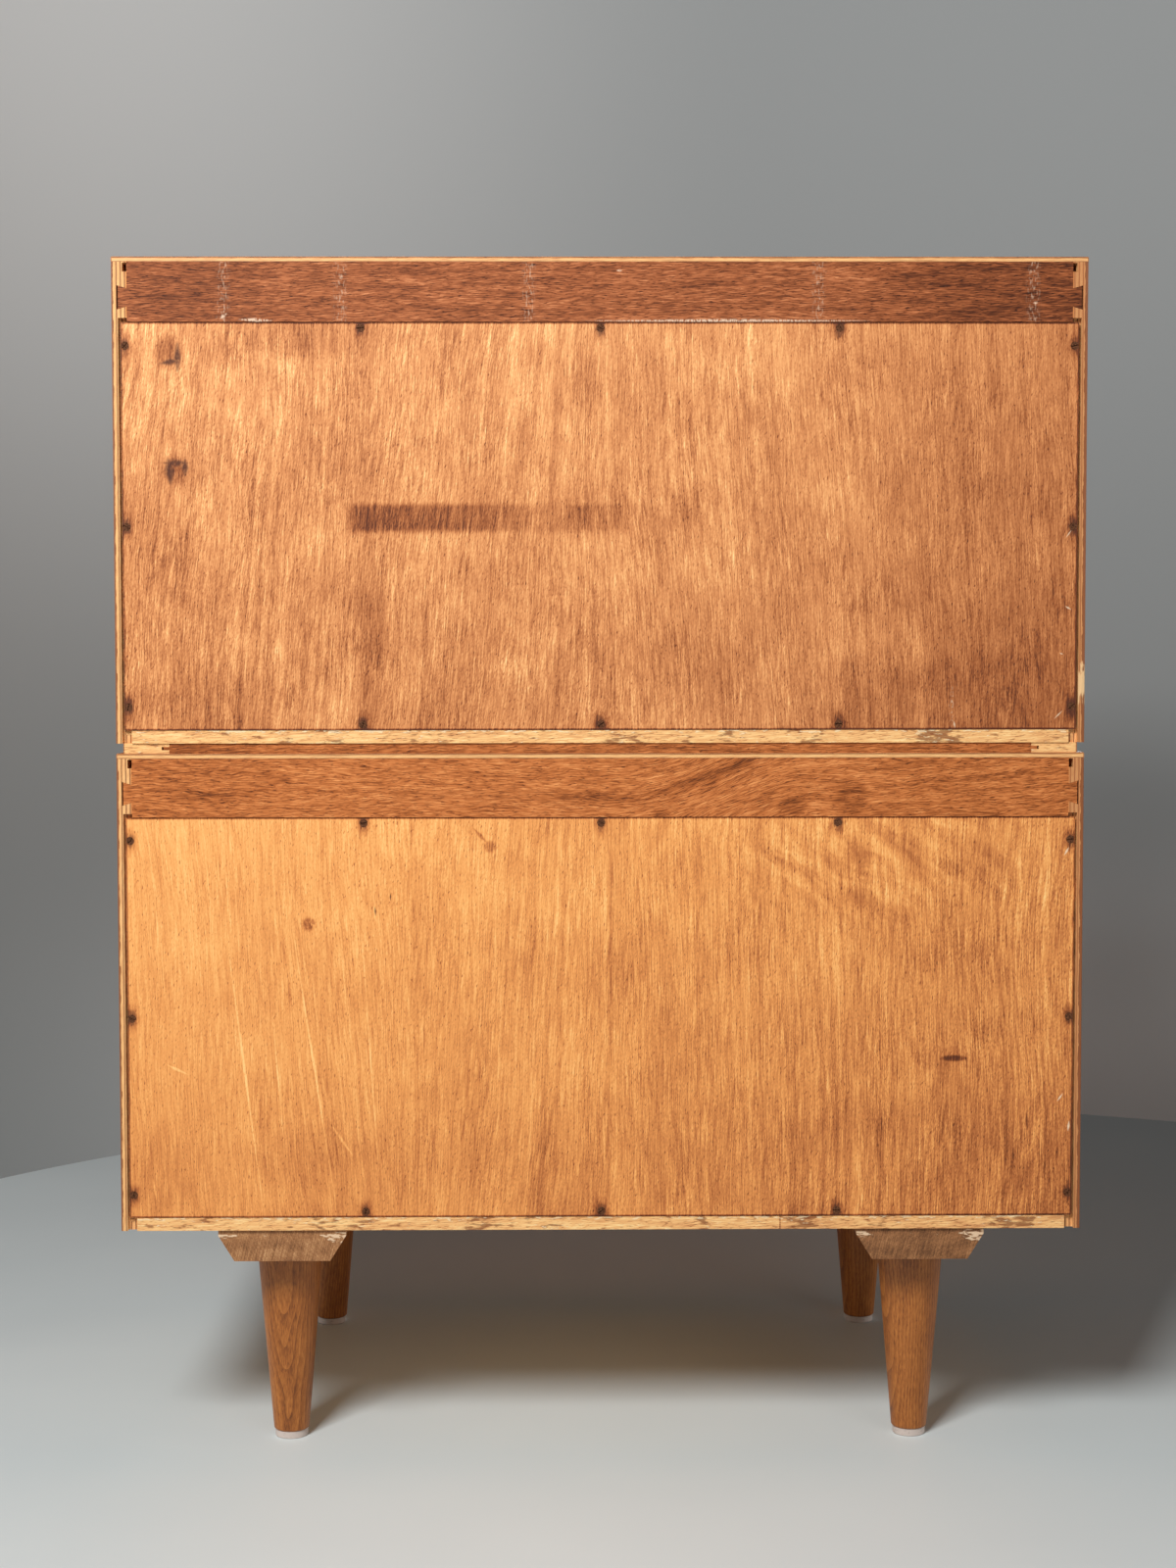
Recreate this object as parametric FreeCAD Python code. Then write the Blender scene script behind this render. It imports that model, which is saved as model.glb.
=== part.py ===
import FreeCAD
import Part
import math
import os

# A chest on chest: two equal plywood cases of two drawers each, one on the other with a thin frame
# between them, on two front-to-back bearers and four turned legs.
# Millimetres. +Z is up, the drawers face -Y, and left is -X, as seen from the front.
# The origin is on the floor, under the middle of the whole piece, knobs included.

V = FreeCAD.Vector

# ---- Cases ----
case_width = 762.0
case_depth = 457.0
case_height = 379.0
side_thickness = 12.0
top_thickness = 4.0
bottom_thickness = 22.0
bottom_end_gap = 0.5
bottom_tongue_height = 8.0
bottom_tongue_length = 5.0
housing_stop = 12.0
edge_ease = 0.6

# ---- Back of each case ----
panel_thickness = 4.0
panel_recess = 1.0
panel_side_gap = 1.6
panel_edge_gap = 0.4
rebate_width = 6.9
rebate_overrun = 3.0
bottom_lip = 10.0
rail_overlap = 12.0
back_rail_height = 46.4
back_rail_thickness = 18.0
front_rail_width = 47.6
front_rail_thickness = 18.0

# ---- Dovetails ----
tail_length = 6.8
tail_neck = 14.0
tail_slope = 0.3
tail_drop = 20.6
flat_tail_neck = 24.0
tail_end_gap = 1.0
tail_fit = 0.1

# ---- Runners and kickers ----
runner_height = 10.0
runner_housing = 3.0
runner_length = 370.0
runner_setback = 31.0
kicker_size = 12.0
kicker_tongue_height = 6.8
kicker_tongue_length = 2.6
kicker_groove_depth = 3.3
kicker_drop = 0.8

# ---- Drawers ----
drawers_per_case = 2
front_thickness = 18.0
front_chamfer = 1.0
drawer_gap = 1.5
drawer_side_gap = 1.0
drawer_side_thickness = 12.0
drawer_side_rise = 7.0
drawer_side_drop = 18.0
drawer_side_round = 1.5
drawer_back_thickness = 10.0
drawer_back_drop = 6.0
drawer_back_housing = 4.0
drawer_bottom_thickness = 4.0
drawer_bottom_rise = 8.0
drawer_groove_depth = 5.0
drawer_end_gap = 10.0
drawer_tails = 3
drawer_tail_neck = 16.0
drawer_tail_slope = 0.2
drawer_tail_length = 12.0
runner_groove_depth = 6.0
runner_side_play = 0.5
runner_top_play = 0.3
runner_bottom_play = 0.5
runner_end_play = 0.5

# ---- Knobs ----
knob_diameter = 32.0
knob_length = 25.0
knob_dome_height = 7.5
knob_rim_height = 1.5
knob_neck_height = 8.0
knob_neck_diameter = 13.0
knob_foot_diameter = 19.0
knob_waist_bow = 0.9
knob_flare_bow = 2.2
knob_spigot_diameter = 9.5
knob_spigot_length = 12.0
knob_end_inset = 182.0

# ---- Stacking frame ----
spacer_thickness = 8.0
spacer_inset = 5.5
spacer_back_inset = 1.5
spacer_member_width = 36.0
spacer_rail_width = 45.0
spacer_groove_depth = 6.0
spacer_tongue_length = 4.6
spacer_tongue_height = 2.7

# ---- Base ----
bearer_width = 101.6
bearer_foot_width = 76.2
bearer_thickness = 25.4
bearer_edge = 5.0
bearer_inset = 3.0
leg_length = 152.4
leg_top_diameter = 54.0
leg_foot_diameter = 28.6
leg_foot_round = 2.0
leg_side_inset = 127.0
leg_end_inset = 60.0
glide_diameter = 26.5
glide_thickness = 6.0
glide_round = 1.0
glide_pin_diameter = 3.0
glide_pin_length = 14.0
bolt_diameter = 8.0
bolt_in_leg = 32.0
bolt_in_bearer = 20.0

# ---- Screws ----
back_screw_head = 6.4
back_screw_shank = 2.8
back_screw_length = 16.0
board_screw_head = 8.4
board_screw_shank = 4.2
bearer_screw_length = 38.0
stacking_screw_length = 48.0
screw_row_edge = 4.2
screw_column_edge = 3.3
screw_column_inset = 18.0
bearer_screw_inset = 40.0
bearer_screw_offset = 28.0
stacking_screw_side_inset = 127.0
stacking_screw_back_inset = 11.5
stacking_screw_front_inset = 26.0
hole_fit = 0.1
slot_width = 0.9
slot_depth = 0.8
slot_turn = 37.0
cut_margin = 2.0

# ---- Derived places ----
overall_depth = case_depth + knob_length
front_y = knob_length - overall_depth / 2
back_y = front_y + case_depth
half_width = case_width / 2
inner_half = half_width - side_thickness
side_top = case_height - top_thickness

rebate_wall = inner_half + rebate_width
rebate_depth = panel_thickness + panel_recess
rebate_y = back_y - rebate_depth
back_rail_bottom = side_top - back_rail_height
back_rail_y = back_y - back_rail_thickness
front_rail_bottom = side_top - front_rail_thickness
panel_half = rebate_wall - panel_side_gap
panel_low = bottom_lip + panel_edge_gap
panel_high = back_rail_bottom - panel_edge_gap
tail_height = side_top - tail_drop - tail_neck / 2
groove_top = side_top - kicker_drop

drawer_zone = front_rail_bottom - bottom_thickness
front_height = (drawer_zone - drawer_gap * (drawers_per_case + 1)) / drawers_per_case
drawer_half = inner_half - drawer_side_gap
drawer_pitch = front_height + drawer_gap
drawer_side_height = front_height - drawer_side_rise - drawer_side_drop
front_back_y = front_y + front_thickness
drawer_back_y = back_rail_y - drawer_end_gap
runner_rise = drawer_side_rise + drawer_side_height * 0.55

glide_top = glide_thickness
leg_top = glide_top + leg_length
bearer_top = leg_top + bearer_thickness
lower_case_z = bearer_top
spacer_z = lower_case_z + case_height
upper_case_z = spacer_z + spacer_thickness

leg_half_spacing = half_width - leg_side_inset
leg_front_y = front_y + leg_end_inset
leg_back_y = back_y - leg_end_inset

pieces = {}


def keep(name, shape):
    """Keep a finished piece under its name."""
    pieces[name] = shape


def block(low, high):
    """A plain board between two corners."""
    size = [high[i] - low[i] for i in range(3)]
    return Part.makeBox(size[0], size[1], size[2], V(*low))


def prism(corners, along):
    """A flat outline swept along a vector."""
    outline = Part.makePolygon(corners + corners[:1])
    return Part.Face(outline).extrude(along)


def mirrored(shape):
    """The same piece on the other side of the middle plane."""
    return shape.mirror(V(0, 0, 0), V(1, 0, 0))


def both_sides(shape):
    """A piece and its mirror image."""
    return [shape, mirrored(shape)]


def eased(board, picked):
    """A board with the edges that picked accepts taken off by a hair, as sanding leaves them."""
    return board.makeChamfer(edge_ease, [edge for edge in board.Edges if picked(edge.BoundBox)])


def round_ended(low, high):
    """A strip or a groove between two corners whose front end, towards -Y, is a half round."""
    radius = (high[2] - low[2]) / 2
    centre = V(low[0], low[1] + radius, low[2] + radius)
    nose = Part.makeCylinder(radius, high[0] - low[0], centre, V(1, 0, 0))
    return block((low[0], centre.y, low[2]), high).fuse(nose).removeSplitter()


def dovetail(root, out, across, depth, neck, length, slope):
    """A tail that widens from its neck, at root, towards its end, swept through a board's thickness."""
    end_half = neck / 2 + slope * length
    corners = [
        root - across * (neck / 2),
        root + across * (neck / 2),
        root + out * length + across * end_half,
        root + out * length - across * end_half,
    ]
    return prism(corners, depth)


def screw_body(head, shank, length, grow=0.0):
    """A countersunk screw from its head's face, at the origin, down -Z; grow makes the hole for it."""
    head_radius = head / 2 + grow
    shank_radius = shank / 2 + grow
    head_depth = (head - shank) / 2
    point_depth = shank
    down = V(0, 0, -1)
    cone = Part.makeCone(head_radius, shank_radius, head_depth, V(0, 0, 0), down)
    stem_length = length - head_depth - point_depth
    stem = Part.makeCylinder(shank_radius, stem_length, V(0, 0, -head_depth), down)
    point = Part.makeCone(shank_radius, grow, point_depth + grow, V(0, 0, point_depth - length), down)
    body = cone.fuse([stem, point])
    if grow:
        mouth = Part.makeCylinder(head_radius, cut_margin)
        body = body.fuse(mouth)
    return body.removeSplitter()


def slotted_screw(head, shank, length, turn):
    """A countersunk screw with a straight slot across its head."""
    slot = Part.makeBox(head * 2, slot_width, slot_depth, V(-head, -slot_width / 2, -slot_depth))
    slot.rotate(V(0, 0, 0), V(0, 0, 1), turn)
    return screw_body(head, shank, length).cut(slot)


def facing_back(shape):
    """Turn a screw that points down so that its head faces the back, +Y."""
    turned = shape.copy()
    turned.rotate(V(0, 0, 0), V(1, 0, 0), -90)
    return turned


# ---- Case: sides, top, bottom, rails and panel, built on z = 0 and lifted into place ----

def rail_tail(fit=0.0, end_gap=0.0):
    """The tail on the right end of the back rail, or the socket for it."""
    root = V(inner_half, back_rail_y - fit, tail_height)
    depth = V(0, back_rail_thickness + fit + (cut_margin if fit else 0.0), 0)
    neck = tail_neck + 2 * fit
    return dovetail(root, V(1, 0, 0), V(0, 0, 1), depth, neck, tail_length + end_gap, tail_slope)


def flat_rail_tail(fit=0.0, end_gap=0.0):
    """The tail on the right end of the flat front rail, or the socket for it."""
    root = V(inner_half, front_y + front_rail_width / 2, front_rail_bottom - fit)
    depth = V(0, 0, front_rail_thickness + fit + (cut_margin if fit else 0.0))
    neck = flat_tail_neck + 2 * fit
    return dovetail(root, V(1, 0, 0), V(0, 1, 0), depth, neck, tail_length + end_gap, tail_slope)


def runner_levels():
    """The undersides of the runners of one case, from the bottom drawer up."""
    first = bottom_thickness + drawer_gap + runner_rise
    return [first + drawer_pitch * i for i in range(drawers_per_case)]


def back_screw_places():
    """Where the panel's screws go in one case: two rows into the boards, two columns into the sides."""
    rows = (panel_low + screw_row_edge, panel_high - screw_row_edge)
    places = [(x, z) for z in rows for x in (-panel_half / 2, 0.0, panel_half / 2)]
    middle = (panel_low + panel_high) / 2
    heights = (panel_low + screw_column_inset, middle, panel_high - screw_column_inset)
    column = panel_half - screw_column_edge
    places += [(x, z) for z in heights for x in (-column, column)]
    return places


def back_screws_and_holes():
    """The panel's screws and the holes that they make."""
    face = back_y - panel_recess
    screws = []
    holes = []
    hole = facing_back(screw_body(back_screw_head, back_screw_shank, back_screw_length, hole_fit))
    for i, (x, z) in enumerate(back_screw_places()):
        screw = slotted_screw(back_screw_head, back_screw_shank, back_screw_length, slot_turn * i)
        screws.append(facing_back(screw).translated(V(x, face, z)))
        holes.append(hole.translated(V(x, face, z)))
    return screws, holes


def board_screws(places, head_z, length):
    """Screws down through a case's bottom board at the places given, and their holes."""
    screws = []
    holes = []
    hole = screw_body(board_screw_head, board_screw_shank, length, hole_fit)
    for i, (x, y) in enumerate(places):
        screw = slotted_screw(board_screw_head, board_screw_shank, length, slot_turn * i)
        screws.append(screw.translated(V(x, y, head_z)))
        holes.append(hole.translated(V(x, y, head_z)))
    return screws, holes


def case_side(panel_holes):
    """The right side of a case, with its rebate, grooves, housings and dovetail sockets."""
    side = block((inner_half, front_y, 0), (half_width, back_y, side_top))
    side = eased(side, lambda box: box.XMin > inner_half and box.ZLength > side_thickness)
    rebate = block(
        (inner_half - cut_margin, rebate_y, -cut_margin),
        (rebate_wall, back_y + cut_margin, back_rail_bottom + rebate_overrun),
    )
    tongue_z = bottom_tongue_base()
    housing = block(
        (inner_half - cut_margin, front_y + housing_stop, tongue_z),
        (inner_half + bottom_tongue_length + bottom_end_gap, back_y, tongue_z + bottom_tongue_height),
    )
    kicker_groove = block(
        (inner_half - cut_margin, front_y + front_rail_width, groove_top - kicker_tongue_height),
        (inner_half + kicker_groove_depth, back_y + cut_margin, groove_top),
    )
    cuts = [rebate, housing, kicker_groove]
    cuts.append(rail_tail(tail_fit, tail_end_gap))
    cuts.append(flat_rail_tail(tail_fit, tail_end_gap))
    for level in runner_levels():
        low = (inner_half - cut_margin, front_y + runner_setback, level)
        high = (inner_half + runner_housing, front_y + runner_setback + runner_length, level + runner_height)
        cuts.append(round_ended(low, high))
    return side.cut(cuts + panel_holes)


def bottom_tongue_base():
    """Height of the underside of the bottom board's tongues."""
    return (bottom_thickness - bottom_tongue_height) / 2


def case_bottom(holes):
    """The bottom board, tongued into the sides and rebated for the panel."""
    half = inner_half - bottom_end_gap
    board = block((-half, front_y, 0), (half, back_y, bottom_thickness))
    tongue = block(
        (half, front_y + housing_stop + tail_fit, bottom_tongue_base()),
        (inner_half + bottom_tongue_length, rebate_y, bottom_tongue_base() + bottom_tongue_height),
    )
    rebate = block(
        (-case_width, rebate_y, bottom_lip),
        (case_width, back_y + cut_margin, bottom_thickness + cut_margin),
    )
    board = board.fuse(both_sides(tongue)).removeSplitter()
    return board.cut([rebate] + holes)


def back_rail(holes):
    """The upright rail under the top at the back, with a lip behind the panel's top edge."""
    lip_bottom = back_rail_bottom - rail_overlap
    face = block((-inner_half, back_rail_y, back_rail_bottom), (inner_half, back_y, side_top))
    lip = block((-inner_half, back_rail_y, lip_bottom), (inner_half, rebate_y, back_rail_bottom))
    rail = face.fuse([lip] + both_sides(rail_tail())).removeSplitter()
    return rail.cut(holes)


def front_rail(holes):
    """The flat rail under the top at the front."""
    rail = block(
        (-inner_half, front_y, front_rail_bottom),
        (inner_half, front_y + front_rail_width, side_top),
    )
    rail = rail.fuse(both_sides(flat_rail_tail())).removeSplitter()
    return rail.cut(holes)


def back_panel(holes):
    """The plywood panel that lies in the rebates."""
    panel = block((-panel_half, rebate_y, panel_low), (panel_half, rebate_y + panel_thickness, panel_high))
    return panel.cut(holes)


def runner(level):
    """A round-nosed runner on the right side, housed in the side and standing into the drawer's groove."""
    reach = drawer_side_gap + runner_groove_depth - runner_side_play
    low = (inner_half - reach, front_y + runner_setback, level)
    high = (inner_half + runner_housing, front_y + runner_setback + runner_length, level + runner_height)
    return round_ended(low, high)


def kicker():
    """The strip under the top at the right, tongued into its groove, that keeps a drawer from tipping."""
    start_y = front_y + front_rail_width
    strip = block(
        (inner_half - kicker_size, start_y, side_top - kicker_size),
        (inner_half, back_rail_y, side_top),
    )
    tongue = block(
        (inner_half, start_y, groove_top - kicker_tongue_height),
        (inner_half + kicker_tongue_length, back_rail_y, groove_top),
    )
    return strip.fuse(tongue).removeSplitter()


def case_top(holes):
    """The thin top, over the sides and rails, its upper edges eased."""
    board = block((-half_width, front_y, side_top), (half_width, back_y, case_height))
    return eased(board, lambda box: box.ZMin > side_top).cut(holes)


def build_case(name, base_z, floor_holes, top_holes):
    """Make every fixed piece of one case and lift it to its height."""
    screws, holes = back_screws_and_holes()
    side = case_side(holes)
    runners = [strip for level in runner_levels() for strip in both_sides(runner(level))]
    case = {
        "side_right": side,
        "side_left": mirrored(side),
        "top": case_top(top_holes),
        "bottom": case_bottom(holes + floor_holes),
        "back_rail": back_rail(holes + top_holes),
        "front_rail": front_rail(top_holes),
        "back_panel": back_panel(holes),
        "back_screws": Part.makeCompound(screws),
        "runners": Part.makeCompound(runners),
        "kickers": Part.makeCompound(both_sides(kicker())),
    }
    for part_name, shape in case.items():
        keep(name + "_" + part_name, shape.translated(V(0, 0, base_z)))


# ---- Drawers ----

def drawer_side(base_z):
    """The right side of a drawer: tails at the front, a runner groove outside, a bottom groove inside."""
    inner = drawer_half - drawer_side_thickness
    low_z = base_z + drawer_side_rise
    top_z = low_z + drawer_side_height
    side = block((inner, front_back_y, low_z), (drawer_half, drawer_back_y, top_z))
    top_edges = [edge for edge in side.Edges if edge.BoundBox.ZMin > low_z]
    long_top_edges = [edge for edge in top_edges if edge.BoundBox.YLength > drawer_side_thickness]
    side = side.makeFillet(drawer_side_round, long_top_edges)
    side = side.fuse(drawer_side_tails(low_z)).removeSplitter()
    groove_y = front_y + runner_setback - runner_end_play
    groove_z = base_z + runner_rise - runner_bottom_play
    groove_top_z = base_z + runner_rise + runner_height + runner_top_play
    runner_groove = round_ended(
        (drawer_half - runner_groove_depth, groove_y, groove_z),
        (drawer_half + cut_margin, drawer_back_y + cut_margin, groove_top_z),
    )
    bottom_z = low_z + drawer_bottom_rise
    bottom_groove = block(
        (inner - cut_margin, front_y, bottom_z),
        (inner + drawer_groove_depth, drawer_back_y + cut_margin, bottom_z + drawer_bottom_thickness),
    )
    back_housing = block(
        (inner - cut_margin, drawer_back_y - drawer_end_gap - drawer_back_thickness, bottom_z),
        (inner + drawer_back_housing, drawer_back_y - drawer_end_gap, top_z + cut_margin),
    )
    return side.cut([runner_groove, bottom_groove, back_housing])


def drawer_side_tails(low_z, fit=0.0):
    """The tails that join a drawer's side to its front, evenly spaced, or the sockets for them."""
    pitch = drawer_side_height / drawer_tails
    tails = []
    for i in range(drawer_tails):
        root = V(drawer_half - drawer_side_thickness - fit, front_back_y, low_z + pitch * (i + 0.5))
        through = V(drawer_side_thickness + fit + (cut_margin if fit else 0.0), 0, 0)
        neck = drawer_tail_neck + 2 * fit
        length = drawer_tail_length + fit
        tails.append(dovetail(root, V(0, -1, 0), V(0, 0, 1), through, neck, length, drawer_tail_slope))
    return tails


def bowed(start, end, bow):
    """An arc from start to end whose middle stands off the straight line between them, to its left."""
    chord = end - start
    left = V(-chord.y, chord.x, 0).normalize()
    return Part.Arc(start, (start + end) * 0.5 + left * bow, end).toShape()


def knob(x, z):
    """A turned knob: a spigot, a waisted neck, a flared head with a thin rim and a domed face."""
    head_radius = knob_diameter / 2
    spigot_radius = knob_spigot_diameter / 2
    rim_y = knob_length - knob_dome_height
    dome_radius = (head_radius ** 2 + knob_dome_height ** 2) / (2 * knob_dome_height)
    half_angle = math.asin(head_radius / dome_radius) / 2
    dome_y = knob_length - dome_radius
    spigot_end = V(0, -knob_spigot_length, 0)
    spigot_edge = V(spigot_radius, -knob_spigot_length, 0)
    spigot_root = V(spigot_radius, 0, 0)
    foot = V(knob_foot_diameter / 2, 0, 0)
    neck = V(knob_neck_diameter / 2, knob_neck_height, 0)
    rim_low = V(head_radius, rim_y - knob_rim_height, 0)
    rim_high = V(head_radius, rim_y, 0)
    on_dome = V(dome_radius * math.sin(half_angle), dome_y + dome_radius * math.cos(half_angle), 0)
    tip = V(0, knob_length, 0)
    outline = Part.Wire([
        Part.makeLine(spigot_end, spigot_edge),
        Part.makeLine(spigot_edge, spigot_root),
        Part.makeLine(spigot_root, foot),
        bowed(foot, neck, knob_waist_bow),
        bowed(neck, rim_low, knob_flare_bow),
        Part.makeLine(rim_low, rim_high),
        Part.Arc(rim_high, on_dome, tip).toShape(),
        Part.makeLine(tip, spigot_end),
    ])
    turned = Part.Face(outline).revolve(V(0, 0, 0), V(0, 1, 0), 360)
    turned.rotate(V(0, 0, 0), V(0, 0, 1), 180)
    return turned.translated(V(x, front_y, z))


def drawer_front(base_z):
    """The drawer's front: chamfered edges, sockets for the tails, a groove and two knob holes."""
    board = block((-drawer_half, front_y, base_z), (drawer_half, front_back_y, base_z + front_height))
    face_edges = [e for e in board.Edges if abs(e.CenterOfMass.y - front_y) < 1e-6]
    board = board.makeChamfer(front_chamfer, face_edges)
    low_z = base_z + drawer_side_rise
    bottom_z = low_z + drawer_bottom_rise
    inner = drawer_half - drawer_side_thickness
    groove = block(
        (-inner - drawer_groove_depth, front_back_y - drawer_groove_depth, bottom_z),
        (inner + drawer_groove_depth, front_back_y + cut_margin, bottom_z + drawer_bottom_thickness),
    )
    cuts = [groove]
    for socket in drawer_side_tails(low_z, tail_fit):
        cuts += both_sides(socket)
    for x in knob_places():
        centre = V(x, front_y - cut_margin, base_z + front_height / 2)
        radius = knob_spigot_diameter / 2 + hole_fit
        cuts.append(Part.makeCylinder(radius, cut_margin + knob_spigot_length + hole_fit, centre, V(0, 1, 0)))
    return board.cut(cuts)


def knob_places():
    """Where the two knobs of a drawer stand."""
    return (knob_end_inset - drawer_half, drawer_half - knob_end_inset)


def build_drawer(name, base_z):
    """Make the pieces of one drawer whose front stands on base_z."""
    inner = drawer_half - drawer_side_thickness
    low_z = base_z + drawer_side_rise
    bottom_z = low_z + drawer_bottom_rise
    back_face_y = drawer_back_y - drawer_end_gap
    side = drawer_side(base_z)
    panel_half_width = inner + drawer_groove_depth - panel_edge_gap
    keep(name + "_front", drawer_front(base_z))
    keep(name + "_side_right", side)
    keep(name + "_side_left", mirrored(side))
    back_low_z = bottom_z + drawer_bottom_thickness
    keep(name + "_back", block(
        (-inner - drawer_back_housing, back_face_y - drawer_back_thickness, back_low_z),
        (inner + drawer_back_housing, back_face_y, low_z + drawer_side_height - drawer_back_drop),
    ))
    keep(name + "_bottom", block(
        (-panel_half_width, front_back_y - drawer_groove_depth + panel_edge_gap, bottom_z),
        (panel_half_width, drawer_back_y, bottom_z + drawer_bottom_thickness),
    ))
    middle_z = base_z + front_height / 2
    keep(name + "_knobs", Part.makeCompound([knob(x, middle_z) for x in knob_places()]))


# ---- Stacking frame ----

def build_spacer(holes):
    """The thin frame between the cases: two grooved side members and two tongued rails."""
    outer = half_width - spacer_inset
    inner = outer - spacer_member_width
    low_y = front_y + spacer_inset
    high_y = back_y - spacer_back_inset
    top_z = spacer_z + spacer_thickness
    tongue_z = spacer_z + (spacer_thickness - spacer_tongue_height) / 2
    member = block((inner, low_y, spacer_z), (outer, high_y, top_z))
    groove = block(
        (inner - cut_margin, low_y - cut_margin, tongue_z),
        (inner + spacer_groove_depth, high_y + cut_margin, tongue_z + spacer_tongue_height),
    )
    member = member.cut(groove)
    keep("spacer_side_right", member)
    keep("spacer_side_left", mirrored(member))
    rail_places = {"spacer_front_rail": low_y, "spacer_back_rail": high_y - spacer_rail_width}
    for name, rail_y in rail_places.items():
        board = block((-inner, rail_y, spacer_z), (inner, rail_y + spacer_rail_width, top_z))
        tongue = block(
            (inner, rail_y, tongue_z),
            (inner + spacer_tongue_length, rail_y + spacer_rail_width, tongue_z + spacer_tongue_height),
        )
        keep(name, board.fuse(both_sides(tongue)).removeSplitter().cut(holes))


# ---- Base ----

def bearer(x, holes):
    """A bearer that runs front to back, its long edges bevelled towards the legs."""
    top_half = bearer_width / 2
    foot_half = bearer_foot_width / 2
    start_y = front_y + bearer_inset
    bevel_z = bearer_top - bearer_edge
    corners = [
        V(x - foot_half, start_y, leg_top),
        V(x + foot_half, start_y, leg_top),
        V(x + top_half, start_y, bevel_z),
        V(x + top_half, start_y, bearer_top),
        V(x - top_half, start_y, bearer_top),
        V(x - top_half, start_y, bevel_z),
    ]
    return prism(corners, V(0, case_depth - 2 * bearer_inset, 0)).cut(holes)


def turned_leg(place):
    """A round tapered leg, its foot edge rounded, bored for its bolt and for the glide's pin."""
    leg = Part.makeCone(leg_foot_diameter / 2, leg_top_diameter / 2, leg_length)
    foot_edges = [e for e in leg.Edges if e.BoundBox.ZMax < 1e-6 and e.Closed]
    leg = leg.makeFillet(leg_foot_round, foot_edges)
    pin_hole = Part.makeCylinder(glide_pin_diameter / 2 + hole_fit, glide_pin_length + hole_fit)
    bolt_depth = bolt_in_leg + hole_fit
    bolt_hole = Part.makeCylinder(bolt_diameter / 2 + hole_fit, bolt_depth, V(0, 0, leg_length - bolt_depth))
    return leg.cut([pin_hole, bolt_hole]).translated(V(place[0], place[1], glide_top))


def glide(place):
    """A nail-on glide: a round-edged disc with a pin."""
    disc = Part.makeCylinder(glide_diameter / 2, glide_thickness)
    rim = [e for e in disc.Edges if e.BoundBox.ZMax < 1e-6 and e.Closed]
    disc = disc.makeFillet(glide_round, rim)
    pin = Part.makeCylinder(glide_pin_diameter / 2, glide_pin_length, V(0, 0, glide_thickness))
    return disc.fuse(pin).removeSplitter().translated(V(place[0], place[1], 0))


def leg_bolt(place, grow=0.0):
    """The threaded stud that holds a leg to its bearer, or the hole for it."""
    length = bolt_in_leg + bolt_in_bearer
    start = V(place[0], place[1], leg_top - bolt_in_leg - grow)
    return Part.makeCylinder(bolt_diameter / 2 + grow, length + 2 * grow, start)


def build_base(screw_holes):
    """Bearers, legs, their bolts and glides."""
    places = {
        "leg_front_left": (-leg_half_spacing, leg_front_y),
        "leg_front_right": (leg_half_spacing, leg_front_y),
        "leg_back_left": (-leg_half_spacing, leg_back_y),
        "leg_back_right": (leg_half_spacing, leg_back_y),
    }
    bolt_holes = [leg_bolt(place, hole_fit) for place in places.values()]
    keep("bearer_left", bearer(-leg_half_spacing, bolt_holes + screw_holes))
    keep("bearer_right", bearer(leg_half_spacing, bolt_holes + screw_holes))
    for name, place in places.items():
        keep(name, turned_leg(place))
    keep("leg_bolts", Part.makeCompound([leg_bolt(place) for place in places.values()]))
    keep("glides", Part.makeCompound([glide(place) for place in places.values()]))


# ---- The whole chest ----

def bearer_screw_places():
    """Three screws down each bearer, beside the line of the legs."""
    inset = bearer_inset + bearer_screw_inset
    rows = (front_y + inset, (front_y + back_y) / 2, back_y - inset)
    offsets = (bearer_screw_offset, 0.0, -bearer_screw_offset)
    return [(side * leg_half_spacing + o, y) for side in (-1, 1) for o, y in zip(offsets, rows)]


def stacking_screw_places():
    """Two screws at the back and two at the front, through the frame into the lower case's rails."""
    rows = (front_y + stacking_screw_front_inset, back_y - stacking_screw_back_inset)
    half_spacing = half_width - stacking_screw_side_inset
    return [(x, y) for y in rows for x in (-half_spacing, half_spacing)]


def lowered(shapes, height):
    """Copies of shapes in the frame of a case that stands at the height given."""
    return [shape.translated(V(0, 0, -height)) for shape in shapes]


def build_chest():
    """Every piece, from the floor up."""
    bearer_screws, bearer_holes = board_screws(
        bearer_screw_places(), lower_case_z + bottom_thickness, bearer_screw_length)
    stacking_screws, stacking_holes = board_screws(
        stacking_screw_places(), upper_case_z + bottom_thickness, stacking_screw_length)
    build_base(bearer_holes)
    keep("bearer_screws", Part.makeCompound(bearer_screws))
    lower_floor_holes = lowered(bearer_holes, lower_case_z)
    build_case("lower", lower_case_z, lower_floor_holes, lowered(stacking_holes, lower_case_z))
    build_spacer(stacking_holes)
    keep("stacking_screws", Part.makeCompound(stacking_screws))
    build_case("upper", upper_case_z, lowered(stacking_holes, upper_case_z), [])
    number = 1
    for case_z in (lower_case_z, upper_case_z):
        for i in range(drawers_per_case):
            build_drawer("drawer_%d" % number, case_z + bottom_thickness + drawer_gap + drawer_pitch * i)
            number += 1


def save_all():
    """Write one STEP file for each piece."""
    os.makedirs("parts", exist_ok=True)
    for name, shape in pieces.items():
        shape.exportStep("parts/%s.step" % name)
    print(len(pieces), "pieces")


build_chest()
save_all()
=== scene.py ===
# %% [markdown]
# # A chest on chest, seen from behind
#
# Two plywood cases of drawers stand on each other, on two bevelled bearers and four turned legs.
# The boards come from the CAD frame with their real sizes, so nothing is moved here.
# What this lesson adds is the finish: raw plywood, sawn edges, end grain, rust round the screws and wear.

# %% Load the frame
import math

import bpy
import numpy as np
from mathutils import Matrix, Vector


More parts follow.
